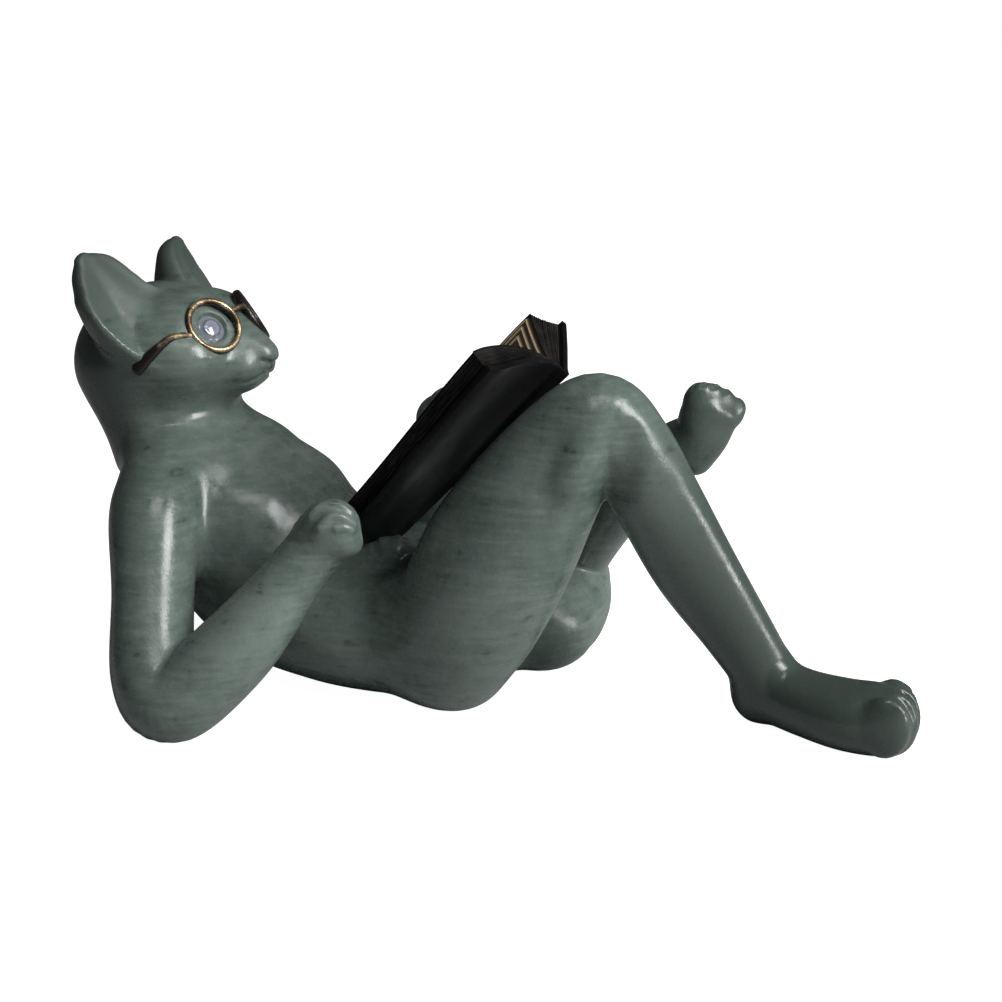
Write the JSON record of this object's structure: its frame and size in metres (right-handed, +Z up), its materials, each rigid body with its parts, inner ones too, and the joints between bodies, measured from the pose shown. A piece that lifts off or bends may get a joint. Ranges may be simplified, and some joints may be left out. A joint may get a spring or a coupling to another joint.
{
  "type": "reclining cat figurine",
  "caption": "Glazed ceramic cat that lies back on its elbows with one knee up, wears wire spectacles and reads an open book.",
  "frame": {"origin": "middle of the object's base, on the shelf it lies on", "axes": "+X from the head to the feet, +Y towards the cat's left side, +Z up from the shelf"},
  "size_m": [0.2416, 0.1396, 0.1189],
  "materials": {
    "glaze": "glossy mottled sea-green glaze with darker streaks",
    "painted_black": "satin near-black",
    "page_brown": "ridged dark brown with a bronze sheen",
    "spectacle_gold": "worn gold over black",
    "eye_glass": "polished, opaque pale grey"
  },
  "bodies": {
    "root": {"torso": "glaze", "head": "glaze", "right_ear": "glaze", "left_ear": "glaze", "right_arm": "glaze", "left_arm": "glaze", "right_leg": "glaze", "left_leg": "glaze", "tail": "glaze", "book_cover": "painted_black", "right_page_block": "page_brown", "left_page_block": "page_brown", "right_rim": "spectacle_gold", "left_rim": "spectacle_gold", "right_temple": "spectacle_gold", "left_temple": "spectacle_gold", "bridge": "spectacle_gold", "right_eye": "eye_glass", "left_eye": "eye_glass"}
  },
  "joints": []
}
